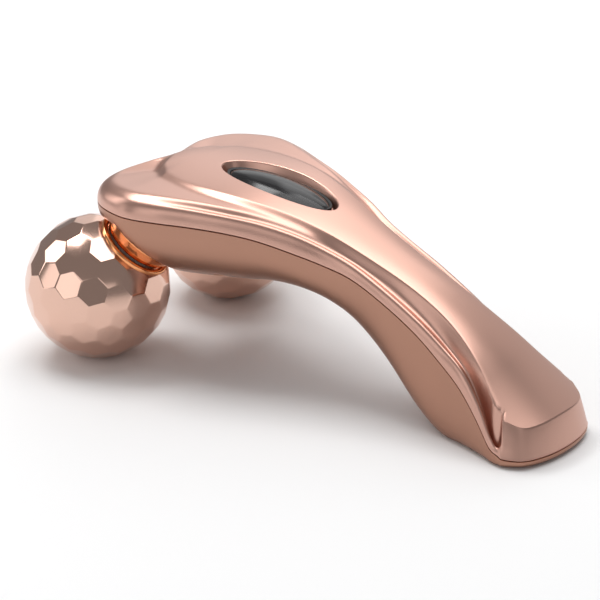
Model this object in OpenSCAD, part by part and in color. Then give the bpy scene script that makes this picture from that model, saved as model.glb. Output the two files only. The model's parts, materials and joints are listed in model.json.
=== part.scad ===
// Y-shaped roller face massager: two faceted balls that spin freely on splayed
// axles under the lobes of an arched two-part handle with a window in its head.
// Frame: +X runs from the balls to the tail, +Y is the left side, +Z is up.
// The origin is on the ground under the middle of the object.

/* [Balls] */
// Diameter over the corners of the facets of a ball
ball_d = 39.5; // [38.5:0.5:40]
// Distance between the centres of the two balls
ball_pitch = 54; // [52:1:56]
// Thickness of the metal shell of a ball
ball_wall = 2.6; // [2:0.2:3.4]
// Radius of the round opening where the axle enters a ball
mouth_r = 10.4; // [10:0.1:10.8]

/* [Axles] */
// Diameter of an axle
axle_d = 5; // [4:0.5:5.5]
// Radial clearance between an axle and its bushes
axle_play = 0.05; // [0.02:0.01:0.1]
// Angle of an axle above the ground
axle_rise = 50; // [48:1:52]
// Angle by which an axle turns in towards the middle of the head
axle_toe = 25; // [22:1:28]

/* [Shells] */
// Height of the back of the head above the ground
head_top = 52.4; // [52:0.1:53]
// Drop of the back from the head to the tail
back_drop = 40.5; // [40:0.1:41]
// Thickness of the plastic shells
shell_wall = 1.8; // [1.4:0.1:2.2]
// Number of points between two stations of the outline
outline_steps = 2; // [2:1:3]

/* [Window] */
// Length of the recess in the head
recess_len = 39; // [36:0.5:40]
// Width of the recess in the head
recess_wid = 17; // [15:0.5:18]
// Length of the domed window
lens_len = 32.6; // [30:0.2:33]
// Width of the domed window
lens_wid = 13.6; // [12:0.2:14]

/* [Hidden] */
ball_r = ball_d / 2;
// the flat facets bring the lowest point of a ball a little inside its corner radius
ball_z = 0.984 * ball_r;
axle_r = axle_d / 2;
// the balls touch the ground, the X axis of the outline starts at their centres
mid_x = 57.5;
// the window sits at this distance behind the balls and leans with the back
win_x = 41.5;
win_z = head_top - 2.8;
win_tilt = 5.9;
cut_t = 22.6;
step_q = 0.5;

// Stations of half the outline, from the notch between the lobes round one lobe
// and along the handle to the middle of the tail:
// [x, half width, seam height, panel half width, rise of the side, groove width,
//  shoulder radius, belly height, crown of the panel, fullness of the belly,
//  share of a plain end face instead of a round shoulder]
stations = [
  [3, 0, 44.5, 8.5, 7, 3.4, 4, 34, 0.7, 2.6, 0],
  [1.5, 7, 44.5, 8.7, 6.8, 3.4, 4.5, 34, 0.7, 2.6, 0],
  [-0.3, 12, 44.5, 9.2, 6.2, 3.6, 5, 35, 0.7, 2.6, 0],
  [-1.5, 18, 44.5, 10, 5.7, 3.6, 5.5, 36, 0.8, 2.6, 0],
  [-0.9, 24, 44.5, 11, 5.4, 3.4, 6, 36, 0.9, 2.6, 0],
  [2.3, 28.4, 44.5, 12, 5.6, 3.4, 6, 34, 1, 2.6, 0],
  [8, 31.6, 44.5, 13, 5.8, 3.4, 6, 30, 1.1, 2.6, 0],
  [16, 33.2, 44.5, 15.5, 6.1, 3.4, 6, 26, 1.1, 2.6, 0],
  [24, 31.5, 44.5, 17.2, 6.1, 3.4, 6, 25, 1.1, 2.6, 0],
  [34, 27.5, 44.3, 17, 5.8, 3.23, 5.5, 25.5, 1.1, 2.6, 0],
  [43, 24, 43.8, 15.6, 5.5, 2.89, 5, 26.5, 1.1, 2.6, 0],
  [51, 20.8, 42.7, 13.6, 5.2, 3, 4.2, 27.5, 1.1, 2.6, 0],
  [60, 17.6, 40.6, 11.2, 5, 2.6, 3.2, 27, 1.1, 2.6, 0],
  [68, 14.8, 38.4, 9.4, 4.2, 2.2, 2.6, 24.5, 1.1, 2.6, 0],
  [76, 13.3, 36.2, 8.3, 3.4, 2, 2.2, 20, 1.1, 2.7, 0],
  [86, 13, 32, 7.5, 3.2, 2, 2, 12, 1.1, 3.2, 0],
  [96, 12.9, 26.6, 7.5, 3.4, 2, 1.9, 3.5, 1.1, 5, 0],
  [104, 13.2, 21.1, 8.2, 4, 2, 1.9, -0.4, 1.2, 7, 0],
  [111, 14.2, 16.2, 9.8, 4.6, 1.8, 1.8, -0.4, 1.5, 8, 0],
  [117, 15.4, 10.2, 11.9, 4.2, 1.5, 1.8, -0.4, 2.2, 8, 0],
  [122, 16.6, 4.4, 14.5, 3, 1, 1.6, -0.4, 3.3, 7, 0],
  [124.8, 17, 3.1, 15, 1.9, 0.9, 1.4, -0.4, 3.2, 6, 0],
  [126.8, 16.9, 2.5, 18, 6.5, 0.8, 2.2, -0.4, 2.6, 5, 1],
  [131.2, 14.2, 2.4, 18, 6.6, 0.8, 2.4, -0.4, 1.4, 4, 1],
  [133.8, 7.8, 2.4, 18, 7, 0.8, 2.4, -0.4, 0.8, 4, 1],
  [134.6, 0, 2.4, 18, 7, 0.8, 2.4, -0.4, 0.6, 4, 1]
];
last = len(stations) - 1;
half_n = last * outline_steps;
ring_n = 2 * half_n;

function mirrored(row) = [for (k = [0:10]) k == 1 ? -row[1] : row[k]];
function station(i) = i < 0 ? mirrored(stations[-i])
  : i > last ? mirrored(stations[2 * last - i])
  : stations[i];
// smooth curve through the stations
function spline(a, b, c, d, t) = 0.5 * (2 * b + (c - a) * t
  + (2 * a - 5 * b + 4 * c - d) * t * t + (3 * b - 3 * c + d - a) * t * t * t);
function outline_at(k) = let (i = floor(k / outline_steps), t = k / outline_steps - i)
  spline(station(i - 1), station(i), station(i + 1), station(i + 2), t);
// the whole ring of the outline, left half first and then the mirrored right half
half_ring = [for (k = [0:half_n]) outline_at(k)];
outline = [for (k = [0:ring_n - 1]) k <= half_n ? half_ring[k] : mirrored(half_ring[ring_n - k])];

function clamp(v, a, b) = min(max(v, a), b);
function smooth(v) = let (u = clamp(v, 0, 1)) u * u * (3 - 2 * u);
// height of the back along the middle of the handle
function back(x) = head_top - back_drop * pow(max(0, (x - 28) / 101), 2.2)
  - 2.3 * exp(-pow((x - 78) / 22, 2)) + 0.009 * pow(max(0, x - 118), 2);
// middle line that the sections of the shells point to
function inner_x(x) = clamp(x, 14, 120);
function reach(o) = norm([o[0] - inner_x(o[0]), o[1]]);
function plan(o, q) = let (d = max(reach(o), 0.001), s = inner_x(o[0]))
  [s + (o[0] - s) * q / d, o[1] * q / d];
// in the fan of sections at the tail the panel falls off sideways only
function tail_fall(p) = (0.0156 - 0.0002 * (p[0] - 120)) * p[1] * p[1];
// height of the upper skin at the distance q from the middle line
function upper_z(o, q) = let (
    d = reach(o),
    p = plan(o, q),
    w = min(o[3], d - 0.4),
    fan = smooth((p[0] - 112) / 8),
    fall = (1 - fan) * o[8] * pow(min(q / w, 1.25), 2) + fan * tail_fall(p),
    panel = back(p[0]) - fall,
    blend = pow(smooth((q - w + 0.3 * o[5]) / o[5]), 0.8),
    body = panel * (1 - blend) + (o[2] + o[4]) * blend,
    edge = clamp((d - q) / o[6], 0, 1),
    face = clamp(o[10], 0, 1),
    curve = (1 - face) * pow(1 - pow(1 - edge, 2.3), 1 / 2.3) + face * (1.35 * edge - 0.35 * edge * edge)
  ) o[2] + (body - o[2]) * curve;
// height of the plane square to an axle, in which the head is cut off
function cut_z(p) = ball_z + (cut_t - p[0] * cos(axle_rise) * cos(axle_toe)
  + (abs(p[1]) - ball_pitch / 2) * cos(axle_rise) * sin(axle_toe)) / sin(axle_rise);
// height of the lower skin at the distance q from the middle line
function lower_z(o, q) = let (
    d = reach(o),
    p = plan(o, q),
    belly = o[2] - (o[2] - o[7]) * pow(max(0, 1 - pow(q / d, o[9])), 1 / o[9])
  ) min(o[2], max(belly, min(cut_z(p), o[2] - 2.9)));

upper_cuts = [0, 0.04, 0.14, 0.3, 0.55, 1];
lower_cuts = [0, 0.01, 0.04, 0.1, 0.2, 0.32, 0.46, 0.62, 0.8];
// distances from the middle line of the rings of the upper skin
function upper_q(o, j) = let (
    d = reach(o),
    plain = o[10] > 0.5,
    w = plain ? d - o[6] - 0.6 : min(o[3], d - 0.4),
    r = plain ? o[6] : min(o[6], 0.6 * (d - w)),
    gap = d - r - w
  ) j < 6 ? d - r * upper_cuts[j]
  : j == 6 ? w + min(0.7 * o[5], 0.66 * gap)
  : j == 7 ? w + min(0.35 * o[5], 0.33 * gap)
  : j == 8 ? w
  : j == 9 ? w - 0.3 * o[5]
  : j == 10 ? 0.55 * w
  : step_q;
function lower_q(o, j) = j < 9 ? reach(o) * (1 - lower_cuts[j]) : step_q;

function skin(o, q, z) = let (p = plan(o, q)) [p[0] - mid_x, p[1], z];
function inside_q(o, q) = let (d = reach(o)) q * (d - shell_wall) / d;
function upper_out(j) = [for (o = outline) let (q = upper_q(o, j)) skin(o, q, upper_z(o, q))];
function upper_in(j) = [for (o = outline) let (q = upper_q(o, j), d = reach(o))
  skin(o, inside_q(o, q), upper_z(o, q) - shell_wall * smooth((d - q) / o[6]))];
function lower_out(j) = [for (o = outline) let (q = lower_q(o, j)) skin(o, q, lower_z(o, q))];
function lower_in(j) = [for (o = outline) let (q = lower_q(o, j), z = lower_z(o, q))
  skin(o, inside_q(o, q), z + min(shell_wall, 0.5 * (o[2] - z)))];

// closed body from a stack of rings, the first and the last ring are capped
module ring_stack(rings) {
  m = ring_n;
  h = half_n;
  top = (len(rings) - 1) * m;
  sides = [for (j = [0:len(rings) - 2], i = [0:m - 1], k = [0:1])
    let (a = j * m + i, b = j * m + (i + 1) % m)
    k == 0 ? [a, b + m, b] : [a, a + m, b + m]];
  cap = [for (i = [0:h - 1], k = [0:1])
    let (a = i, b = i + 1, c = (m - i - 1) % m, d = (m - i) % m)
    k == 0 ? [a, b, c] : [a, c, d]];
  good = [for (t = cap) if (t[0] != t[1] && t[1] != t[2] && t[0] != t[2]) t];
  polyhedron(points = [for (r = rings) for (p = r) p],
    faces = concat(sides, good, [for (t = good) [t[2] + top, t[1] + top, t[0] + top]]),
    convexity = 6);
}

// ---------- small helpers ----------
module in_frame() {
  translate([-mid_x, 0, 0]) children();
}

// local frame of an axle: Z runs up the axle and the origin is the ball centre
module on_axle(side) {
  in_frame()
    translate([0, side * ball_pitch / 2, ball_z])
      rotate([0, 90 - axle_rise, -side * axle_toe])
        children();
}

// local frame of the window: origin in the middle of its rim
module on_window() {
  in_frame()
    translate([win_x, 0, win_z])
      rotate([0, win_tilt, 0])
        children();
}

module oval(len, wid, high, grow = 1) {
  linear_extrude(height = high, scale = grow)
    scale([len / wid, 1])
      circle(d = wid, $fn = 64);
}

module tube(ro, ri, low, high) {
  translate([0, 0, low])
    difference() {
      cylinder(r = ro, h = high - low, $fn = 64);
      translate([0, 0, -1]) cylinder(r = ri, h = high - low + 2, $fn = 64);
    }
}

// ---------- faceted ball ----------
gold = (1 + sqrt(5)) / 2;
// corners and faces of the twenty-sided solid that the facets are laid out on
corners = [for (a = [-1, 1], b = [-gold, gold], k = [0:2])
  let (v = [0, a, b]) [v[k], v[(k + 1) % 3], v[(k + 2) % 3]] / norm(v)];
edges = [for (i = [0:10], j = [i + 1:11]) if (norm(corners[i] - corners[j]) < 1.1) [i, j]];
trios = [for (i = [0:9], j = [i + 1:10], k = [j + 1:11])
  if (norm(corners[i] - corners[j]) < 1.1 && norm(corners[j] - corners[k]) < 1.1
    && norm(corners[i] - corners[k]) < 1.1) [corners[i], corners[j], corners[k]]];
function unit(v) = v / norm(v);
// a side from a to b gives one facet corner near each of its ends
function facet_corners(a, b) = let (m = unit(a + b)) [unit(a + 2 * m), unit(b + 2 * m)];
function halves(t) = let (ab = unit(t[0] + t[1]), bc = unit(t[1] + t[2]), ca = unit(t[2] + t[0]))
  concat(facet_corners(ab, bc), facet_corners(bc, ca), facet_corners(ca, ab));
facet_points = concat(
  [for (t = trios) for (v = halves(t)) v],
  [for (e = edges) let (a = corners[e[0]], b = corners[e[1]], m = unit(a + b))
    for (v = concat(facet_corners(a, m), facet_corners(b, m))) v]);

module facet_solid(r) {
  hull()
    polyhedron(points = facet_points * r, faces = [[for (i = [0:len(facet_points) - 1]) i]]);
}

module ball(side) {
  on_axle(side)
    difference() {
      facet_solid(ball_r);
      sphere(r = ball_r - ball_wall, $fn = 48);
      cylinder(r = mouth_r, h = ball_r + 1, $fn = 64);
    }
}

// ---------- shells ----------
// vertical screws that hold the two shells together:
// [x, y, height of the split, top of the upper post, foot of the lower post]
screw_spots = [[36, 17, 39, 49, 29], [36, -17, 39, 49, 29], [106, 0, 13, 26, 1]];

module upper_shell() {
  color([0.83, 0.66, 0.6])
    difference() {
      union() {
        ring_stack(concat(
          [for (j = [11:-1:0]) upper_out(j)],
          [for (j = [0:11]) upper_in(j)]));
        for (s = screw_spots)
          in_frame() translate([s[0], s[1], s[2]]) cylinder(r = 3, h = s[3] - s[2], $fn = 32);
        // seat of the window, under the skin
        on_window() translate([0, 0, -3.6]) oval(recess_len, recess_wid, 4.4);
      }
      // recess for the window, its wall leans outwards, with a ledge for the gasket
      on_window() {
        oval(recess_len - 2.6, recess_wid - 2.6, 5, [1.14, 1.45]);
        translate([0, 0, -2.6]) oval(lens_len + 0.6, lens_wid + 0.6, 4);
        translate([0, 0, -6]) oval(lens_len - 4, lens_wid - 4, 5);
      }
      // pilot holes for the screws
      for (s = screw_spots)
        in_frame() translate([s[0], s[1], s[2] - 1]) cylinder(r = 1.25, h = 7, $fn = 32);
    }
}

module lower_shell() {
  color([0.75, 0.58, 0.51])
    difference() {
      union() {
        ring_stack(concat(
          [for (j = [9:-1:0]) lower_in(j)],
          [for (j = [0:9]) lower_out(j)]));
        for (s = screw_spots)
          in_frame() translate([s[0], s[1], s[4]]) cylinder(r = 3.6, h = s[2] - s[4] - 0.1, $fn = 32);
      }
      // flat foot under the tail
      translate([0, -50, -10]) cube([100, 100, 10]);
      // openings for the necks of the collars and level seats for their rims
      for (side = [-1, 1])
        on_axle(side) {
          cylinder(r = 6.3, h = 40, $fn = 64);
          cylinder(r = 12.1, h = cut_t - 0.1, $fn = 64);
        }
      // counterbores and clearance holes of the screws
      for (s = screw_spots)
        in_frame() {
          translate([s[0], s[1], -1]) cylinder(r = 2.6, h = s[2] - 2, $fn = 32);
          translate([s[0], s[1], -1]) cylinder(r = 1.5, h = s[2] + 2, $fn = 32);
        }
    }
}

// ---------- window ----------
module window_lens() {
  color([0.1, 0.1, 0.11])
    on_window()
      intersection() {
        translate([0, 0, -1.6]) oval(lens_len, lens_wid, 4);
        translate([0, 0, -40]) scale([2.2, 1, 1]) sphere(r = 41.8, $fn = 120);
      }
}

module window_gasket() {
  color([0.05, 0.05, 0.05])
    on_window()
      translate([0, 0, -2.6])
        difference() {
          oval(lens_len + 0.4, lens_wid + 0.4, 1);
          translate([0, 0, -1]) oval(lens_len - 4, lens_wid - 4, 3);
        }
}

module solar_cell() {
  color([0.08, 0.09, 0.2])
    on_window() translate([-13, -5, -4.3]) cube([26, 10, 0.6]);
}

module circuit_board() {
  color([0.1, 0.4, 0.2])
    on_window() {
      translate([-13, -7, -7.4]) cube([28, 14, 1]);
      translate([-8, -3, -6.4]) cube([6, 6, 1.4]);
      translate([5, 0, -6.4]) cylinder(r = 2, h = 1.4, $fn = 32);
    }
}

// ---------- axle mounting ----------
module axle_bracket() {
  color([0.2, 0.2, 0.2])
    difference() {
      union() {
        in_frame() translate([14, -16, 38.5]) cube([8, 32, 5.5]);
        for (side = [-1, 1])
          on_axle(side) translate([0, 0, 24.2]) cylinder(r = 4.8, h = 7, $fn = 64);
      }
      for (side = [-1, 1])
        on_axle(side) translate([0, 0, 20]) cylinder(r = axle_r, h = 20, $fn = 64);
    }
}

module axle(side) {
  color([0.75, 0.76, 0.78])
    on_axle(side)
      rotate_extrude($fn = 64)
        polygon([[0, -10], [axle_r - 0.4, -10], [axle_r, -9.6], [axle_r, -8.9],
          [axle_r - 0.5, -8.9], [axle_r - 0.5, -8.1], [axle_r, -8.1], [axle_r, 16.8],
          [axle_r + 1.2, 16.8], [axle_r + 1.2, 17.6], [axle_r, 17.6], [axle_r, 30.8],
          [axle_r - 0.4, 31.2], [0, 31.2]]);
}

module collar(side) {
  color([0.85, 0.5, 0.35])
    on_axle(side)
      rotate_extrude($fn = 96)
        polygon([[axle_r + 0.4, 18], [9.2, 18], [9.6, 18.3], [11.8, 22.4], [6, 22.4],
          [6, 24.1], [axle_r + 0.4, 24.1]]);
}

// ---------- rolling parts ----------
module ball_lip(side) {
  color([0.86, 0.55, 0.42])
    on_axle(side)
      rotate_extrude($fn = 96)
        polygon([[8, 15.6], [mouth_r, 15.6], [mouth_r, 17], [mouth_r - 0.4, 17.4],
          [8.4, 17.4], [8, 17]]);
}

module ball_hub(side) {
  color([0.9, 0.9, 0.88])
    on_axle(side)
      difference() {
        intersection() {
          translate([0, 0, -20]) cylinder(r = 8, h = 36.8, $fn = 64);
          sphere(r = ball_r - ball_wall, $fn = 96);
        }
        translate([0, 0, -12]) cylinder(r = 4, h = 40, $fn = 64);
      }
}

module ball_bushes(side) {
  color([0.75, 0.65, 0.35])
    on_axle(side) {
      tube(4, axle_r + axle_play, 11, 16.5);
      tube(4, axle_r + axle_play, -7.8, -2.5);
    }
}

module retaining_ring(side) {
  color([0.3, 0.3, 0.32])
    on_axle(side)
      tube(3.6, axle_r - 0.5, -8.8, -8.2);
}

// ---------- wiring and weight ----------
module contact_strip(side) {
  color([0.8, 0.65, 0.3])
    in_frame()
      translate([0, 0, 45])
        linear_extrude(height = 0.3)
          polygon([[16.5, side * 19.3], [16.5, side * 17.3], [24, side * 17.3], [31, side * 6.5],
            [33, side * 6.5], [25.2, side * 19.3]]);
}

module ballast() {
  color([0.5, 0.5, 0.52])
    in_frame()
      translate([84, 0, 27])
        rotate([0, 125, 0])
          cylinder(r = 6, h = 20, $fn = 64, center = true);
}

module shell_screws() {
  color([0.6, 0.6, 0.62])
    for (s = screw_spots)
      in_frame() {
        translate([s[0], s[1], s[2] - 5.4]) cylinder(r = 2.4, h = 2.4, $fn = 32);
        translate([s[0], s[1], s[2] - 4]) cylinder(r = 1.25, h = 9, $fn = 32);
      }
}

module ball_left() {
  color([0.88, 0.68, 0.6]) ball(1);
}

module ball_right() {
  color([0.88, 0.68, 0.6]) ball(-1);
}

module axle_left() {
  axle(1);
}

module axle_right() {
  axle(-1);
}

module collar_left() {
  collar(1);
}

module collar_right() {
  collar(-1);
}

module ball_lip_left() {
  ball_lip(1);
}

module ball_lip_right() {
  ball_lip(-1);
}

module ball_hub_left() {
  ball_hub(1);
}

module ball_hub_right() {
  ball_hub(-1);
}

module ball_bushes_left() {
  ball_bushes(1);
}

module ball_bushes_right() {
  ball_bushes(-1);
}

module retaining_ring_left() {
  retaining_ring(1);
}

module retaining_ring_right() {
  retaining_ring(-1);
}

module contact_strip_left() {
  contact_strip(1);
}

module contact_strip_right() {
  contact_strip(-1);
}

upper_shell();
lower_shell();
window_lens();
window_gasket();
solar_cell();
circuit_board();
axle_bracket();
axle_left();
axle_right();
collar_left();
collar_right();
ball_left();
ball_right();
ball_lip_left();
ball_lip_right();
ball_hub_left();
ball_hub_right();
ball_bushes_left();
ball_bushes_right();
retaining_ring_left();
retaining_ring_right();
contact_strip_left();
contact_strip_right();
ballast();
shell_screws();
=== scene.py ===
# %% [markdown]
# # Roller face massager
# A hand-held roller: a satin rose shell in the shape of a Y, a domed solar window in its back, and two
# faceted mirror balls that spin on slanted axles.
# The CAD frame gives the real sizes and the bodies that move.
# This file rebuilds every visible piece in the same place with finer surfaces and finishes.
# %%
import json
import math
import bpy
import bmesh
import numpy as np
from mathutils import Matrix, Vector


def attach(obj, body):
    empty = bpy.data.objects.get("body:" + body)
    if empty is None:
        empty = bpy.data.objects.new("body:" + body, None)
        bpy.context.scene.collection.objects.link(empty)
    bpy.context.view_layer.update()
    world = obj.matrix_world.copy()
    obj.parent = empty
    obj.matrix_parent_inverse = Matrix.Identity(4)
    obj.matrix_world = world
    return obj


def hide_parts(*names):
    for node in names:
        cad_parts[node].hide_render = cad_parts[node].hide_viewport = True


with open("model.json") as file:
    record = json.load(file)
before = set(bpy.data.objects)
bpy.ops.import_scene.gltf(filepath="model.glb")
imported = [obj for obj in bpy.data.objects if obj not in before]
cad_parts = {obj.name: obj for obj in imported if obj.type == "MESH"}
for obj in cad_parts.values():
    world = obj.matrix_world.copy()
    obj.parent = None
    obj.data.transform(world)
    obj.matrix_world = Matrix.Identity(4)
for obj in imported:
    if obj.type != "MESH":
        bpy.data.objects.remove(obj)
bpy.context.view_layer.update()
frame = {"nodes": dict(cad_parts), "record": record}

# %% [markdown]
# ## Sizes
# All shapes are worked out in millimetres with the handle's own X, and moved to the shared frame in
# metres at the end.
# The sizes are those of the CAD part, so the finer pieces sit exactly on the coarse ones.
# %%
MID_X = 57.5
BALL_R = 19.75
BALL_Z = 0.984 * BALL_R
PITCH = 54.0
RISE, TOE, CUT_T = math.radians(50), math.radians(25), 22.6
WALL = 1.8
WINDOW = (41.5, 0.0, 49.6)
TILT = math.radians(5.9)
LENS_L, LENS_W = 32.6, 13.6
RIM_L, RIM_W = 38.6, 17.2
M = 0.001


def axle_frame(side):
    """Z runs up the axle, the origin is the middle of the ball."""
    return (Matrix.Translation((-MID_X, side * PITCH / 2, BALL_Z))
            @ Matrix.Rotation(-side * TOE, 4, "Z") @ Matrix.Rotation(math.pi / 2 - RISE, 4, "Y"))


def window_frame():
    """Z stands square on the rim of the window."""
    return Matrix.Translation((WINDOW[0] - MID_X, 0, WINDOW[2])) @ Matrix.Rotation(TILT, 4, "Y")


for s in (-1, 1):
    print("axle direction", [round(v, 3) for v in axle_frame(s).to_3x3() @ Vector((0, 0, 1))])

# %% [markdown]
# ## Mesh helpers
# Nearly every piece is a stack of rings, so one helper joins rings into a closed or open skin and turns
# the faces outwards.
# Edges sharper than a set angle stay crisp, all others shade smoothly.
# %%
def make_piece(name, points, faces, matrix=Matrix.Identity(4), sharp=None, turn_out=True):
    """A mesh object in metres from points in millimetres."""
    mesh = bpy.data.meshes.new(name)
    mesh.from_pydata([matrix @ Vector(p) * M for p in points], [], faces)
    bm = bmesh.new()
    bm.from_mesh(mesh)
    bmesh.ops.remove_doubles(bm, verts=bm.verts, dist=0.002 * M)
    if turn_out:
        bmesh.ops.recalc_face_normals(bm, faces=bm.faces)
    if bm.calc_volume(signed=True) < 0:
        bmesh.ops.reverse_faces(bm, faces=bm.faces)
    bm.to_mesh(mesh)
    bm.free()
    obj = bpy.data.objects.new(name, mesh)
    bpy.context.scene.collection.objects.link(obj)
    shade(obj, sharp)
    return obj


def shade(obj, sharp=None):
    """Smooth shading, broken only at edges that turn by more than the angle sharp."""
    obj.data.polygons.foreach_set("use_smooth", [True] * len(obj.data.polygons))
    if sharp is not None:
        obj.data.set_sharp_from_angle(angle=math.radians(sharp))
    obj.data.update()


def ring_faces(rings, turns):
    """The side faces of a stack of rings with the same number of points."""
    return [(j * turns + i, j * turns + (i + 1) % turns, (j + 1) * turns + (i + 1) % turns, (j + 1) * turns + i)
            for j in range(rings - 1) for i in range(turns)]


def loop_faces(rings, turns):
    """The side faces of a stack whose last ring joins the first one again."""
    top = (rings - 1) * turns
    closing = [(top + i, top + (i + 1) % turns, (i + 1) % turns, i) for i in range(turns)]
    return ring_faces(rings, turns) + closing


def capped_faces(rings, turns):
    """The side faces of a stack of rings and its two end faces."""
    top = (rings - 1) * turns
    return ring_faces(rings, turns) + [tuple(range(turns)), tuple(range(top + turns - 1, top - 1, -1))]


def cut(obj, tool):
    """Takes the tool's volume out of obj for good and removes the tool."""
    mod = obj.modifiers.new("cut", "BOOLEAN")
    mod.operation, mod.solver, mod.object = "DIFFERENCE", "EXACT", tool
    tool.hide_render = True
    done = bpy.data.meshes.new_from_object(obj.evaluated_get(bpy.context.evaluated_depsgraph_get()))
    obj.modifiers.remove(mod)
    obj.data = done
    bpy.data.objects.remove(tool)


def lathe(name, profile, matrix, turns=128):
    """Turns a closed loop of (radius, height) points about Z."""
    points = [(r * math.cos(2 * math.pi * i / turns), r * math.sin(2 * math.pi * i / turns), z)
              for r, z in profile for i in range(turns)]
    return make_piece(name, points, loop_faces(len(profile), turns), matrix, sharp=32)


def soften(profile, radius, steps=4):
    """Rounds every corner of a closed profile with a short arc of about that radius."""
    out, n = [], len(profile)
    for i, here in enumerate(profile):
        p, a, b = (np.array(v, float) for v in (here, profile[i - 1], profile[(i + 1) % n]))
        ra = min(radius, 0.45 * np.linalg.norm(a - p))
        rb = min(radius, 0.45 * np.linalg.norm(b - p))
        pa = p + (a - p) / np.linalg.norm(a - p) * ra
        pb = p + (b - p) / np.linalg.norm(b - p) * rb
        for k in range(steps + 1):
            t = k / steps
            out.append(tuple((1 - t) ** 2 * pa + 2 * t * (1 - t) * p + t * t * pb))
    return out


# %% [markdown]
# ## Finishes
# One shared group gives slow and fine variation: cloudiness of the plating, fine grain and the marks of
# handling.
# Each material keeps its own shader and only takes masks and heights from the group.
# %%
def variation_group():
    g = bpy.data.node_groups.new("Finish variation", "ShaderNodeTree")
    for label, value in (("Cloud scale", 30.0), ("Grain scale", 900.0), ("Wear", 0.3)):
        g.interface.new_socket(label, in_out="INPUT", socket_type="NodeSocketFloat").default_value = value
    for label in ("Cloud", "Grain", "Wear mask"):
        g.interface.new_socket(label, in_out="OUTPUT", socket_type="NodeSocketFloat")
    new, link = g.nodes.new, g.links.new
    given, made = new("NodeGroupInput"), new("NodeGroupOutput")
    where = new("ShaderNodeTexCoord")
    cloud, grain, marks = (new("ShaderNodeTexNoise") for _ in range(3))
    for tex, socket, detail in ((cloud, "Cloud scale", 3), (grain, "Grain scale", 2)):
        link(where.outputs["Object"], tex.inputs["Vector"])
        link(given.outputs[socket], tex.inputs["Scale"])
        tex.inputs["Detail"].default_value = detail
    double = new("ShaderNodeMath")
    double.operation = "MULTIPLY"
    double.inputs[1].default_value = 4.0
    link(given.outputs["Cloud scale"], double.inputs[0])
    link(where.outputs["Object"], marks.inputs["Vector"])
    link(double.outputs[0], marks.inputs["Scale"])
    marks.inputs["Detail"].default_value = 6
    marks.inputs["Roughness"].default_value = 0.7
    band = new("ShaderNodeMapRange")
    band.inputs["From Min"].default_value = 0.52
    band.inputs["From Max"].default_value = 0.7
    link(marks.outputs["Fac"], band.inputs["Value"])
    amount = new("ShaderNodeMath")
    amount.operation = "MULTIPLY"
    link(band.outputs["Result"], amount.inputs[0])
    link(given.outputs["Wear"], amount.inputs[1])
    link(cloud.outputs["Fac"], made.inputs["Cloud"])
    link(grain.outputs["Fac"], made.inputs["Grain"])
    link(amount.outputs[0], made.inputs["Wear mask"])
    return g


VARIATION = variation_group()


def finish(name, tone_a, tone_b, rough, metal=1.0, rough_span=0.05, bump=0.05, bump_size=0.02,
           cloud=30.0, grain=900.0, wear=0.3):
    """A material whose colour wanders between two tones and whose roughness follows the handling marks."""
    mat = bpy.data.materials.new(name)
    mat.use_nodes = True
    new, link = mat.node_tree.nodes.new, mat.node_tree.links.new
    shader = mat.node_tree.nodes["Principled BSDF"]
    shader.inputs["Metallic"].default_value = metal
    part = new("ShaderNodeGroup")
    part.node_tree = VARIATION
    part.inputs["Cloud scale"].default_value = cloud
    part.inputs["Grain scale"].default_value = grain
    part.inputs["Wear"].default_value = wear
    mix = new("ShaderNodeMix")
    mix.data_type = "RGBA"
    mix.inputs["A"].default_value = (*tone_a, 1)
    mix.inputs["B"].default_value = (*tone_b, 1)
    link(part.outputs["Cloud"], mix.inputs["Factor"])
    link(mix.outputs["Result"], shader.inputs["Base Color"])
    span = new("ShaderNodeMapRange")
    span.inputs["To Min"].default_value = rough
    span.inputs["To Max"].default_value = rough + rough_span
    link(part.outputs["Wear mask"], span.inputs["Value"])
    link(span.outputs["Result"], shader.inputs["Roughness"])
    relief = new("ShaderNodeBump")
    relief.inputs["Strength"].default_value = bump
    relief.inputs["Distance"].default_value = bump_size * M
    link(part.outputs["Grain"], relief.inputs["Height"])
    link(relief.outputs["Normal"], shader.inputs["Normal"])
    return mat


SATIN = dict(rough=0.33, rough_span=0.03, bump=0.15, grain=2500, wear=0.15)
PLASTIC = dict(metal=0.0, bump=0.3)
satin = finish("Rose satin", (0.60, 0.355, 0.285), (0.62, 0.37, 0.298), **SATIN)
# a darker copy of the same rose satin for the lower shell: painted shade standing in for the underside turned
# away from the light
satin_painted_shade = finish("Rose satin painted shade", (0.42, 0.225, 0.16), (0.45, 0.245, 0.175), **SATIN)
mirror = finish("Rose mirror", (0.72, 0.47, 0.38), (0.76, 0.5, 0.4), 0.1, rough_span=0.03, grain=1500)
copper = finish("Copper plate", (0.86, 0.36, 0.15), (0.9, 0.4, 0.18), 0.12, bump=0.05, grain=1500)
rubber = finish("Black rubber", (0.006, 0.006, 0.007), (0.012, 0.012, 0.012), 0.55, metal=0.0, bump=0.4)


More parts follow.
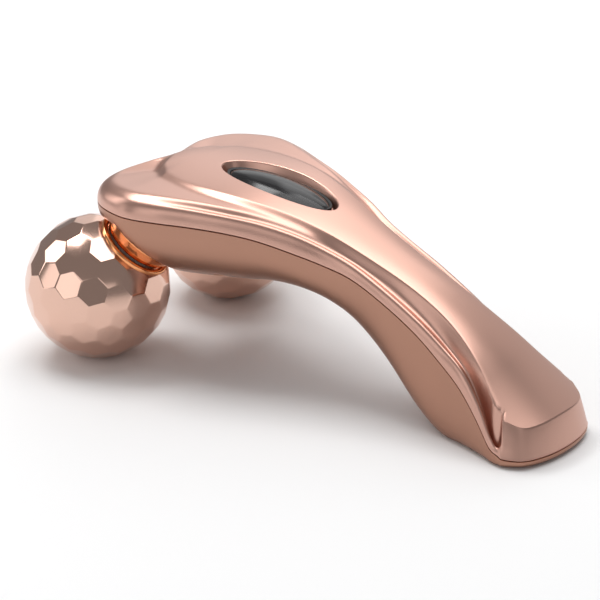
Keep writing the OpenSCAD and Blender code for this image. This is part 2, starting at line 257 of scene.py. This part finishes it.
def window_material():
    """Smoked glass over the dark weave of the cell: two crossed waves make the threads."""
    mat = finish("Dark window", (0.012, 0.011, 0.013), (0.02, 0.018, 0.02), 0.16, metal=0.0, bump=0.1)
    nodes, link = mat.node_tree.nodes, mat.node_tree.links.new
    shader = nodes["Principled BSDF"]
    where = nodes.new("ShaderNodeTexCoord")
    waves = []
    for axis in ("X", "Y"):
        wave = nodes.new("ShaderNodeTexWave")
        wave.bands_direction = axis
        wave.inputs["Scale"].default_value = 420.0
        wave.inputs["Distortion"].default_value = 0.6
        link(where.outputs["Object"], wave.inputs["Vector"])
        waves.append(wave)
    both = nodes.new("ShaderNodeMath")
    both.operation = "MULTIPLY"
    link(waves[0].outputs["Fac"], both.inputs[0])
    link(waves[1].outputs["Fac"], both.inputs[1])
    tint = nodes.new("ShaderNodeMix")
    tint.data_type = "RGBA"
    tint.inputs["A"].default_value = (0.006, 0.006, 0.007, 1)
    tint.inputs["B"].default_value = (0.026, 0.023, 0.024, 1)
    link(both.outputs[0], tint.inputs["Factor"])
    link(tint.outputs["Result"], shader.inputs["Base Color"])
    shader.inputs["Specular IOR Level"].default_value = 0.35
    return mat


window = window_material()
INNER = {
    "steel": finish("Axle steel", (0.5, 0.5, 0.51), (0.56, 0.56, 0.57), 0.25),
    "black_plastic": finish("Black plastic", (0.02, 0.02, 0.022), (0.03, 0.03, 0.032), 0.5, **PLASTIC),
    "white_plastic": finish("White plastic", (0.75, 0.74, 0.72), (0.8, 0.79, 0.77), 0.45,
                            metal=0.0, bump=0.2),
    "bronze_bush": finish("Bronze", (0.55, 0.36, 0.18), (0.6, 0.4, 0.22), 0.35),
    "spring_steel": finish("Spring steel", (0.4, 0.4, 0.42), (0.45, 0.45, 0.47), 0.3),
    "brass_strip": finish("Brass", (0.75, 0.56, 0.25), (0.8, 0.6, 0.3), 0.3),
    "iron_weight": finish("Iron", (0.22, 0.22, 0.22), (0.28, 0.27, 0.26), 0.5),
    "green_board": finish("Circuit board", (0.02, 0.14, 0.06), (0.03, 0.18, 0.08), 0.4, **PLASTIC),
    "solar_glass": finish("Solar cell", (0.012, 0.014, 0.04), (0.02, 0.022, 0.06), 0.2,
                          metal=0.0, bump=0.2),
}
print("materials:", len(bpy.data.materials))

# %% [markdown]
# ## The outline of the shells
# Half of the outline is a list of stations, from the notch between the lobes, round one lobe and down the
# handle to the tail.
# A smooth curve runs through them, and every number of a station changes smoothly with it, so one table
# steers the whole skin.
# %%
# x, half width, seam height, panel half width, rise of the side, groove width,
# shoulder radius, belly height, dent depth, dent place, dent width, crown, fullness of the belly,
# share of a plain end face instead of a round shoulder
STATIONS = np.array([
    [3, 0, 44.5, 8.5, 7, 3.4, 4, 34, 0, 2.8, 1, 0.7, 2.6, 0],
    [1.5, 7, 44.5, 8.7, 6.8, 3.4, 4.5, 34, 0, 2.8, 1, 0.7, 2.6, 0],
    [-0.3, 12, 44.5, 9.2, 6.2, 3.6, 5, 35, 0, 2.8, 1, 0.7, 2.6, 0],
    [-1.5, 18, 44.5, 10, 5.7, 3.6, 5.5, 36, 0, 2.8, 1, 0.8, 2.6, 0],
    [-0.9, 24, 44.5, 11, 5.4, 3.4, 6, 36, 0, 2.8, 1, 0.9, 2.6, 0],
    [2.3, 28.4, 44.5, 12, 5.6, 3.4, 6, 34, 0, 2.8, 1, 1, 2.6, 0],
    [8, 31.6, 44.5, 13, 5.8, 3.4, 6, 30, 0, 2.8, 1, 1.1, 2.6, 0],
    [16, 33.2, 44.5, 15.5, 6.1, 3.4, 6, 26, 0.1, 2.8, 1, 1.1, 2.6, 0],
    [24, 31.5, 44.5, 17.2, 6.1, 3.4, 6, 25, 0.4, 2.8, 1, 1.1, 2.6, 0],
    [34, 27.5, 44.3, 17, 5.8, 3.23, 5.5, 25.5, 0.8, 2.8, 1, 1.1, 2.6, 0],
    [43, 24, 43.8, 15.6, 5.5, 2.89, 5, 26.5, 1, 2.8, 1, 1.1, 2.6, 0],
    [51, 20.8, 42.7, 13.6, 5.2, 3, 4.2, 27.5, 1, 3.1, 1.1, 1.1, 2.6, 0],
    [60, 17.6, 40.6, 11.2, 5, 2.6, 3.2, 27, 1, 3.2, 1.15, 1.1, 2.6, 0],
    [68, 14.8, 38.4, 9.4, 4.2, 2.2, 2.6, 24.5, 1, 3.2, 1.15, 1.1, 2.6, 0],
    [76, 13.3, 36.2, 8.3, 3.4, 2, 2.2, 20, 1, 3.2, 1.15, 1.1, 2.7, 0],
    [86, 13, 32, 7.5, 3.2, 2, 2, 12, 1, 3.2, 1.15, 1.1, 3.2, 0],
    [96, 12.9, 26.6, 7.5, 3.4, 2, 1.9, 3.5, 1, 3.2, 1.15, 1.1, 5, 0],
    [104, 13.2, 21.1, 8.2, 4, 2, 1.9, -0.4, 1.1, 3.1, 1.1, 1.2, 7, 0],
    [111, 14.2, 16.2, 9.8, 4.6, 1.8, 1.8, -0.4, 1.4, 2.8, 1, 1.5, 8, 0],
    [117, 15.4, 10.2, 11.9, 4.2, 1.5, 1.8, -0.4, 1.9, 2.4, 0.8, 2.2, 8, 0],
    [122, 16.6, 4.4, 14.5, 3, 1, 1.6, -0.4, 2.2, 1.7, 0.55, 3.3, 7, 0],
    [124.8, 17, 3.1, 15, 1.9, 0.9, 1.4, -0.4, 1.2, 1.8, 0.5, 3.2, 6, 0],
    [126.8, 16.9, 2.5, 18, 6.5, 0.8, 2.2, -0.4, 0, 1.5, 0.5, 2.6, 5, 1],
    [131.2, 14.2, 2.4, 18, 6.6, 0.8, 2.4, -0.4, 0, 1.5, 0.5, 1.4, 4, 1],
    [133.8, 7.8, 2.4, 18, 7, 0.8, 2.4, -0.4, 0, 1.5, 0.5, 0.8, 4, 1],
    [134.6, 0, 2.4, 18, 7, 0.8, 2.4, -0.4, 0, 1.5, 0.5, 0.6, 4, 1],
])
LAST = len(STATIONS) - 1
# points of the curve between two stations
FINE = 20
# the straight middle line that all sections point to runs between these two places
SPINE_START, SPINE_END = 14, 120


def outline_rows(steps):
    """Rows of the table at even steps along the curve, left half and then the mirrored right half."""
    flip = np.ones(STATIONS.shape[1])
    flip[1] = -1
    table = np.vstack([STATIONS[1] * flip, STATIONS, STATIONS[-2] * flip])
    t = np.arange(LAST * steps + 1) / steps
    i = np.minimum(t.astype(int), LAST - 1)
    t = (t - i)[:, None]
    a, b, c, d = (table[i + k] for k in range(4))
    half = 0.5 * (2 * b + (c - a) * t + (2 * a - 5 * b + 4 * c - d) * t ** 2
                  + (3 * b - 3 * c + d - a) * t ** 3)
    return np.vstack([half, (half * flip)[-2:0:-1]])


def smooth(v):
    v = np.clip(v, 0, 1)
    return v * v * (3 - 2 * v)


def back(x):
    """Height of the back along the middle; it levels out just before the end of the tail."""
    fall = 52.4 - 40.5 * np.maximum(0, (x - 28) / 101) ** 2.2 - 2.3 * np.exp(-((x - 78) / 22) ** 2)
    return fall + 0.009 * np.maximum(0, x - 118) ** 2


(EDGE_X, EDGE_Y, SEAM, PANEL, SIDE_RISE, GROOVE, SHOULDER, BELLY,
 DENT, DENT_PLACE, DENT_WIDTH, CROWN, FULLNESS, PLAIN_FACE) = outline_rows(FINE).T
COUNT = len(EDGE_X)
HALF = COUNT // 2
SPINE = np.clip(EDGE_X, SPINE_START, SPINE_END)
# distance of the edge from the middle line, and half the width of the panel inside it
D = np.hypot(EDGE_X - SPINE, EDGE_Y)
W = np.minimum(PANEL, D - 0.4)
print("outline points:", COUNT, " widest in mm:", round(2 * EDGE_Y.max(), 1))


def plan(q):
    """Plan position at the distance q from the middle line."""
    d = np.maximum(D, 0.001)
    return SPINE + (EDGE_X - SPINE) * q / d, EDGE_Y * q / d


# %% [markdown]
# ## The upper skin
# From the seam inwards the skin is a rounded bead, a narrow groove that deepens along the handle, the
# shoulder of the lobe, a soft valley and then the raised panel.
# The wall between groove and panel is steep at its top and runs out in a hollow, as on a moulded cover.
# %%
def upper_z(q):
    """Height of the upper skin at the distance q from the middle line."""
    px, py = plan(q)
    # in the fan of sections at the tail the panel falls off sideways only
    fan = smooth((px - 112) / 8)
    crowned = CROWN * np.minimum(q / W, 1.25) ** 2
    sideways = (0.0156 - 0.0002 * (px - SPINE_END)) * py ** 2
    panel = back(px) - (1 - fan) * crowned - fan * sideways
    blend = smooth((q - W + 0.3 * GROOVE) / GROOVE) ** 0.8
    body = panel * (1 - blend) + (SEAM + SIDE_RISE) * blend
    dent = DENT * np.exp(-((D - q - DENT_PLACE) / np.maximum(DENT_WIDTH, 0.3)) ** 2)
    edge = np.clip((D - q) / SHOULDER, 0, 1)
    face = np.clip(PLAIN_FACE, 0, 1)
    rounded = (1 - (1 - edge) ** 2.3) ** (1 / 2.3)
    plain = 1.35 * edge - 0.35 * edge ** 2
    return SEAM + (body - SEAM - dent) * ((1 - face) * rounded + face * plain)


def upper_rings():
    """Distances from the middle line: fine over bead, groove and wall, wider over the panel."""
    foot = D - SHOULDER
    top = np.minimum(W - 0.35 * GROOVE, foot - 0.3)
    out = [D - (D - foot) * (1 - math.cos(math.pi / 2 * k / 20)) for k in range(21)]
    out += [foot + (top - foot) * k / 20 for k in range(1, 21)]
    out += [top + (0.5 - top) * (k / 14) for k in range(1, 15)]
    return out


def ring(q, z):
    """One ring of points in the frame of the object, at the distance q and the height z."""
    x, y = plan(q)
    return np.stack([x - MID_X, y, z], 1)


def shell_skin(rings):
    """Rings to points and faces, with a strip that closes each end along the middle line."""
    points = np.vstack(rings)
    faces = ring_faces(len(rings), COUNT)
    for base, way in ((0, -1), ((len(rings) - 1) * COUNT, 1)):
        for i in range(HALF):
            loop = [i, i + 1, (COUNT - i - 1) % COUNT, (COUNT - i) % COUNT]
            loop = [base + v for k, v in enumerate(loop) if v not in loop[:k]]
            faces.append(tuple(loop[::way]))
    return points, faces


# half the gap at the seam, and how far the lowest ring of the skin stands above the lip
GAP, STEP = 0.16, 0.12
# no ring may sink below the edge, or the skin would fold over itself at the tail
outer = []
for k, q in reversed(list(enumerate(upper_rings()))):
    outer.append(ring(q, np.maximum(upper_z(q), SEAM + GAP + STEP + 0.003 * k)))
outer[-1] = ring(D, SEAM + GAP + STEP)
lip = [ring(D - 0.02, SEAM + GAP), ring(D - 0.14, SEAM + 0.5 * GAP), ring(D - 1.1, SEAM + 0.5 * GAP)]
# the lid runs in to the middle line, so it never bridges the notch between the lobes
lip += [ring(q, SEAM + 0.5 * GAP) for q in (0.7 * D, 0.35 * D, np.minimum(0.5, 0.2 * D + 0.1))]
points, faces = shell_skin(outer + lip)
upper = make_piece("cover", points, faces, sharp=40, turn_out=False)
print("upper skin faces:", len(upper.data.polygons))

# %% [markdown]
# ## The recess of the window
# The cover has an eye-shaped opening with a rolled rim and a wall that leans inwards down to a ledge.
# The opening is cut with a straight eye-shaped tool, and a separate lofted rim is laid exactly on the
# skin, so the roll has no facets of the cut.
# %%
def eye(length, width, t, power=2.0):
    """A point of the eye-shaped outline; a power under two makes the ends more pointed."""
    c, s = math.cos(t), math.sin(t)
    return (length / 2 * math.copysign(abs(c) ** (2 / power), c),
            width / 2 * math.copysign(abs(s) ** (2 / power), s))


# the part of the outline along one side, from the lobe to the tail, where X only grows
SIDE = slice(6 * FINE, HALF)
RIM_CROWN = 1.1


def panel_z(x, y):
    """Height of the panel at a plan position over the straight part of the middle line."""
    w = np.interp(x, EDGE_X[SIDE], W[SIDE])
    return float(back(np.array(x))) - RIM_CROWN * min(abs(y) / w, 1.0) ** 2


TURNS = 192
TURN_ANGLES = [2 * math.pi * i / TURNS for i in range(TURNS)]
RIM_POWER = 1.94
tool_points = [(WINDOW[0] - MID_X + x, y, z) for z in (42, 60)
               for x, y in (eye(RIM_L, RIM_W, t, RIM_POWER) for t in TURN_ANGLES)]
tool = make_piece("tool", tool_points, capped_faces(2, TURNS))
cut(upper, tool)
shade(upper, 40)

# (inset from the rim, depth below the skin)
RIM = [(-0.03, 0.0), (0.12, 0.02), (0.26, 0.07), (0.4, 0.17), (0.52, 0.32), (0.62, 0.52), (0.78, 0.95),
       (1.0, 1.5), (1.22, 2.05), (1.4, 2.45), (1.5, 2.62), (1.62, 2.7), (2.4, 2.75), (2.5, 2.95),
       (2.5, 4.6)]
loft = []
for inset, depth in RIM:
    for t in TURN_ANGLES:
        x, y = eye(RIM_L - 2 * inset, RIM_W - 2 * inset, t, RIM_POWER)
        x += WINDOW[0]
        loft.append((x - MID_X, y, panel_z(x, y) - depth))
rim = make_piece("window_rim", loft, ring_faces(len(RIM), TURNS), sharp=50)
print("rim rings:", len(RIM), " cover faces after the cut:", len(upper.data.polygons))

# %% [markdown]
# ## The lower skin
# The lower shell hangs from the same seam: a full rounded belly under the head, a hollow under the handle
# and a flat heel under the tail.
# Each lobe is cut off square to its axle, where the collar comes out.
# %%
def soft_max(a, b, k=0.35):
    """The larger of two heights with a rounded edge where they meet."""
    return 0.5 * (a + b + np.sqrt((a - b) ** 2 + k * k))


def lower_z(q):
    """Height of the lower skin: the belly, cut off square to the axle, never below the ground."""
    x, y = plan(q)
    hang = np.maximum(0, 1 - (q / np.maximum(D, 0.001)) ** FULLNESS) ** (1 / FULLNESS)
    belly = SEAM - (SEAM - BELLY) * hang
    plane = BALL_Z + (CUT_T - x * math.cos(RISE) * math.cos(TOE)
                      + (np.abs(y) - PITCH / 2) * math.cos(RISE) * math.sin(TOE)) / math.sin(RISE)
    z = soft_max(belly, -soft_max(-plane, -(SEAM - 2.9)))
    return np.minimum(SEAM - GAP, np.maximum(z, 0.0))


# shares of the way in from the edge, close together where the belly turns up to the seam
fractions = [0, 0.0015, 0.005, 0.011, 0.02, 0.032, 0.047, 0.065, 0.086, 0.11, 0.137]
fractions += [0.137 + 0.85 * (k / 50) for k in range(1, 51)]
lower_q = [D * (1 - f) for f in fractions] + [np.full(COUNT, 0.5)]
below = [ring(q, lower_z(q)) for q in reversed(lower_q)]
below[-1] = ring(D - 0.03, SEAM - GAP - 0.1)
# the tongue stands up inside the cover and closes the seam to the light
tongue = [ring(D - 0.16, SEAM - GAP), ring(D - 1.2, SEAM - GAP),
          ring(D - 1.22, SEAM + 1.0), ring(D - 1.9, SEAM + 1.0)]
inside = []
for q in lower_q[8::6]:
    z = lower_z(q)
    inside.append(ring(q * (D - WALL) / D, z + np.minimum(WALL, 0.5 * (SEAM - z))))
points, faces = shell_skin(below + tongue + inside)
lower = make_piece("underside", points, faces, sharp=40, turn_out=False)
# counterbores of the three screws, open from below: place and height of the foot of the post
SCREWS = [(36, 17, 29), (36, -17, 29), (106, 0, 1)]
BORE_R, BORE_TURNS = 2.6, 48
for x, y, foot in SCREWS:
    circle = [2 * math.pi * i / BORE_TURNS for i in range(BORE_TURNS)]
    hole = [(BORE_R * math.cos(t) + x - MID_X, BORE_R * math.sin(t) + y, z)
            for z in (-5, foot + 3) for t in circle]
    cut(lower, make_piece("tool", hole, capped_faces(2, BORE_TURNS)))
shade(lower, 40)
print("lower skin faces:", len(lower.data.polygons))

# %% [markdown]
# ## The window
# A dark glossy lens with pointed ends sits in the recess; a thin black gasket fills the gap round it.
# %%
def lens_height(rho):
    """The dome of the lens over its rim, with rho running from the middle to the edge."""
    return -0.7 + 2.5 * (1 - min(rho, 1.0) ** 2.2) ** 0.75


LENS_POWER, BAND_POWER = 1.86, 1.88
levels = [0.02] + [k / 22 for k in range(1, 19)] + [0.86, 0.9, 0.93, 0.955, 0.975, 0.99, 0.998, 1.0]
lens_points = []
rims = [(rho, lens_height(rho)) for rho in levels] + [(1, -1.4), (1, -2.2)]
for rho, z in rims:
    lens_points += [(*eye(LENS_L * rho, LENS_W * rho, t, LENS_POWER), z) for t in TURN_ANGLES]
lens = make_piece("lens", lens_points, capped_faces(len(rims), TURNS), window_frame(), sharp=45)
# (growth over the lens, height over the rim)
BAND = [(0.1, -0.55), (1.6, -0.35), (1.6, -2.2), (0.1, -2.2)]
band = []
for grow, z in BAND:
    band += [(*eye(LENS_L + grow, LENS_W + grow, t, BAND_POWER), z) for t in TURN_ANGLES]
gasket = make_piece("gasket", band, loop_faces(len(BAND), TURNS), window_frame(), sharp=30)
print("lens faces:", len(lens.data.polygons))

# %% [markdown]
# ## The faceted balls
# Each ball has 122 flat facets, twelve with five sides and the rest with six.
# Geometry nodes lay a point on every corner and every face of a geodesic ball, wrap a hull round the
# points and take its dual, which gives one facet for each point.
# %%
def facet_tree():
    tree = bpy.data.node_groups.new("Faceted ball", "GeometryNodeTree")
    tree.interface.new_socket("Geometry", in_out="INPUT", socket_type="NodeSocketGeometry")
    size = tree.interface.new_socket("Radius", in_out="INPUT", socket_type="NodeSocketFloat")
    size.default_value = BALL_R * M
    skin = tree.interface.new_socket("Finish", in_out="INPUT", socket_type="NodeSocketMaterial")
    skin.default_value = mirror
    tree.interface.new_socket("Geometry", in_out="OUTPUT", socket_type="NodeSocketGeometry")
    new, link = tree.nodes.new, tree.links.new
    given, made = new("NodeGroupInput"), new("NodeGroupOutput")
    ico = new("GeometryNodeMeshIcoSphere")
    ico.inputs["Subdivisions"].default_value = 2
    ico.inputs["Radius"].default_value = 1.0
    join = new("GeometryNodeJoinGeometry")
    for mode in ("VERTICES", "FACES"):
        to_points = new("GeometryNodeMeshToPoints")
        to_points.mode = mode
        link(ico.outputs["Mesh"], to_points.inputs["Mesh"])
        to_verts = new("GeometryNodePointsToVertices")
        link(to_points.outputs["Points"], to_verts.inputs["Points"])
        link(to_verts.outputs["Mesh"], join.inputs["Geometry"])

    def on_sphere(source, scale_from=None):
        place, at = new("GeometryNodeSetPosition"), new("GeometryNodeInputPosition")
        unit = new("ShaderNodeVectorMath")
        unit.operation = "NORMALIZE"
        link(at.outputs["Position"], unit.inputs[0])
        result = unit.outputs["Vector"]
        if scale_from is not None:
            grow = new("ShaderNodeVectorMath")
            grow.operation = "SCALE"
            link(result, grow.inputs[0])
            link(scale_from, grow.inputs["Scale"])
            result = grow.outputs["Vector"]
        link(source, place.inputs["Geometry"])
        link(result, place.inputs["Position"])
        return place.outputs["Geometry"]

    hull, dual = new("GeometryNodeConvexHull"), new("GeometryNodeDualMesh")
    link(on_sphere(join.outputs["Geometry"]), hull.inputs["Geometry"])
    link(hull.outputs["Convex Hull"], dual.inputs["Mesh"])
    real, paint = new("GeometryNodeRealizeInstances"), new("GeometryNodeSetMaterial")
    link(on_sphere(dual.outputs["Dual Mesh"], given.outputs["Radius"]), real.inputs["Geometry"])
    link(real.outputs["Geometry"], paint.inputs["Geometry"])
    link(given.outputs["Finish"], paint.inputs["Material"])
    link(paint.outputs["Geometry"], made.inputs["Geometry"])
    return tree, size.identifier, skin.identifier


FACETS, RADIUS_INPUT, FINISH_INPUT = facet_tree()


def faceted_ball(name, side):
    seed = bpy.data.meshes.new("seed")
    maker = bpy.data.objects.new("maker", seed)
    bpy.context.scene.collection.objects.link(maker)
    mod = maker.modifiers.new("facets", "NODES")
    mod.node_group = FACETS
    mod[RADIUS_INPUT] = BALL_R * M
    mod[FINISH_INPUT] = mirror
    mesh = bpy.data.meshes.new_from_object(maker.evaluated_get(bpy.context.evaluated_depsgraph_get()))
    bpy.data.objects.remove(maker)
    mesh.name = name
    facets = len(mesh.polygons)
    bm = bmesh.new()
    bm.from_mesh(mesh)
    bmesh.ops.bevel(bm, geom=list(bm.edges), offset=0.32 * M, segments=3, profile=0.5, affect="EDGES",
                    clamp_overlap=True)
    bmesh.ops.recalc_face_normals(bm, faces=bm.faces)
    turn = (axle_frame(side).to_3x3().to_4x4() @ Matrix.Rotation(math.radians(17), 4, "Z")
            @ Matrix.Rotation(math.radians(10), 4, "X"))
    bmesh.ops.transform(bm, matrix=turn, verts=bm.verts)
    bmesh.ops.translate(bm, verts=bm.verts, vec=axle_frame(side).to_translation() * M)
    bm.to_mesh(mesh)
    bm.free()
    ball = bpy.data.objects.new(name, mesh)
    bpy.context.scene.collection.objects.link(ball)
    mouth = lathe("tool", [(0.01, 14.0), (10.3, 14.0), (10.3, 24.0), (0.01, 24.0)], axle_frame(side), 96)
    cut(ball, mouth)
    shade(ball, 60)
    print(name, "facets:", facets, " faces:", len(ball.data.polygons))
    return ball


balls = {1: faceted_ball("ball_shell_left", 1), -1: faceted_ball("ball_shell_right", -1)}

# %% [markdown]
# ## Collars and lips
# A copper-plated collar grows out of each lobe like a short cone, and a bright rolled lip closes the
# mouth of the ball.
# Between the two lies a thin dark gap.
# %%
# (radius, height up the axle from the middle of the ball)
COLLAR = [(2.9, 18.0), (9.2, 18.0), (9.7, 18.5), (11.9, 22.55),
          (11.6, 23.6), (6.0, 23.6), (6.0, 24.1), (2.9, 24.1)]
LIP = [(8.0, 15.6), (10.0, 15.6), (10.75, 16.3), (10.7, 17.2), (10.2, 17.55), (9.2, 17.4), (8.0, 16.6)]
collars, lips = {}, {}
for side, word in ((1, "left"), (-1, "right")):
    collars[side] = lathe("collar_cone_" + word, soften(COLLAR, 0.35), axle_frame(side))
    lips[side] = lathe("lip_ring_" + word, soften(LIP, 0.4), axle_frame(side))
print("collar and lip faces:", len(collars[1].data.polygons), len(lips[1].data.polygons))

# %% [markdown]
# ## Which body each piece rides on
# The shells, the window and the collars belong to the handle; each ball takes its lip along when it spins.
# Pieces that are built here stand for the coarse CAD pieces, and the hidden inner pieces keep their CAD
# shape and get a finish.
# %%
def settle(obj, material, body, slot, *nodes):
    obj.data.materials.clear()
    obj.data.materials.append(material)
    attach(obj, body)
    if nodes:
        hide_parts(*nodes)


settle(upper, satin, "handle", "rose_satin", "upper_shell")
settle(rim, satin, "handle", "rose_satin")
# the lower shell takes the darker copy of the satin, which is painted shade
settle(lower, satin_painted_shade, "handle", "rose_satin", "lower_shell")
settle(lens, window, "handle", "dark_window", "window_lens")
settle(gasket, rubber, "handle", "black_rubber", "window_gasket")
for side, word in ((1, "left"), (-1, "right")):
    settle(collars[side], copper, "handle", "copper_plate", "collar_" + word)
    settle(balls[side], mirror, word + "_ball", "rose_mirror", "ball_" + word)
    settle(lips[side], copper, word + "_ball", "copper_plate", "ball_lip_" + word)
node_slot = {s["node"]: s.get("material_slot") for s in frame["record"].get("subparts", [])}
for name, obj in frame["nodes"].items():
    if obj.hide_render:
        continue
    kind = node_slot.get(name)
    obj.data.materials.clear()
    obj.data.materials.append(INNER.get(kind, INNER["steel"]))

# %% [markdown]
# ## Floor, light and camera
# A pale sweep, a broad soft light above and behind, and a weaker fill from the front keep the satin shell
# full of long soft gradients.
# %%
floor_mesh = bpy.data.meshes.new("floor")
floor_mesh.from_pydata([(-3, -3, 0), (3, -3, 0), (3, 5, 0), (-3, 5, 0)], [], [(0, 1, 2, 3)])
floor = bpy.data.objects.new("floor", floor_mesh)
bpy.context.scene.collection.objects.link(floor)
floor_mat = bpy.data.materials.new("Pale floor")
floor_mat.use_nodes = True
floor_mat.node_tree.nodes["Principled BSDF"].inputs["Base Color"].default_value = (0.9, 0.9, 0.9, 1)
floor_mat.node_tree.nodes["Principled BSDF"].inputs["Roughness"].default_value = 0.8
floor_mesh.materials.append(floor_mat)

world = bpy.data.worlds.new("Studio")
bpy.context.scene.world = world
world.use_nodes = True
world.node_tree.nodes["Background"].inputs["Color"].default_value = (0.75, 0.75, 0.76, 1)
world.node_tree.nodes["Background"].inputs["Strength"].default_value = 0.36


def soft_light(name, direction, distance, size, power, target=(0, 0, 0.03)):
    data = bpy.data.lights.new(name, "AREA")
    data.shape, data.size, data.size_y, data.energy = "RECTANGLE", size[0], size[1], power
    obj = bpy.data.objects.new(name, data)
    toward = Vector(direction).normalized()
    obj.location = Vector(target) + toward * distance
    obj.rotation_euler = toward.to_track_quat("Z", "Y").to_euler()
    bpy.context.scene.collection.objects.link(obj)
    return obj


soft_light("back wall", (-0.25, 0.9, 0.45), 1.5, (1.9, 1.4), 3.5)
soft_light("back softbox", (-0.265, 0.656, 0.707), 1.1, (0.5, 0.6), 1.2)
soft_light("head glow", (-0.60, 0.70, 0.38), 1.2, (0.6, 0.35), 0.4)
soft_light("top softbox", (-0.5, 0.0, 0.87), 1.0, (0.5, 0.25), 3.2)
soft_light("sweep light", (0.0, 0.2, 1.0), 2.2, (1.6, 1.6), 24)
soft_light("left card", (-0.9, -0.35, 0.42), 0.9, (0.22, 0.5), 0.9)
soft_light("front card", (-0.15, -0.95, 0.3), 1.2, (0.35, 0.7), 0.9)
soft_light("low card", (-0.7, -0.7, 0.12), 1.0, (0.2, 0.5), 0.35)
soft_light("front left fill", (0.15, -0.9, 0.5), 1.2, (0.4, 0.5), 0.45)
soft_light("front right fill", (0.85, -0.5, 0.4), 1.2, (0.4, 0.5), 0.35)

cam_data = bpy.data.cameras.new("camera")
cam = bpy.data.objects.new("camera", cam_data)
bpy.context.scene.collection.objects.link(cam)
cam.location = (0.36504, -0.45872, 0.26526)
cam.rotation_euler = (math.radians(90 - 22.58), 0, math.radians(39.19))
cam_data.sensor_width, cam_data.lens = 36, 144
cam_data.clip_start, cam_data.clip_end = 0.01, 20
bpy.context.scene.camera = cam
bpy.context.scene.view_settings.view_transform = "Standard"
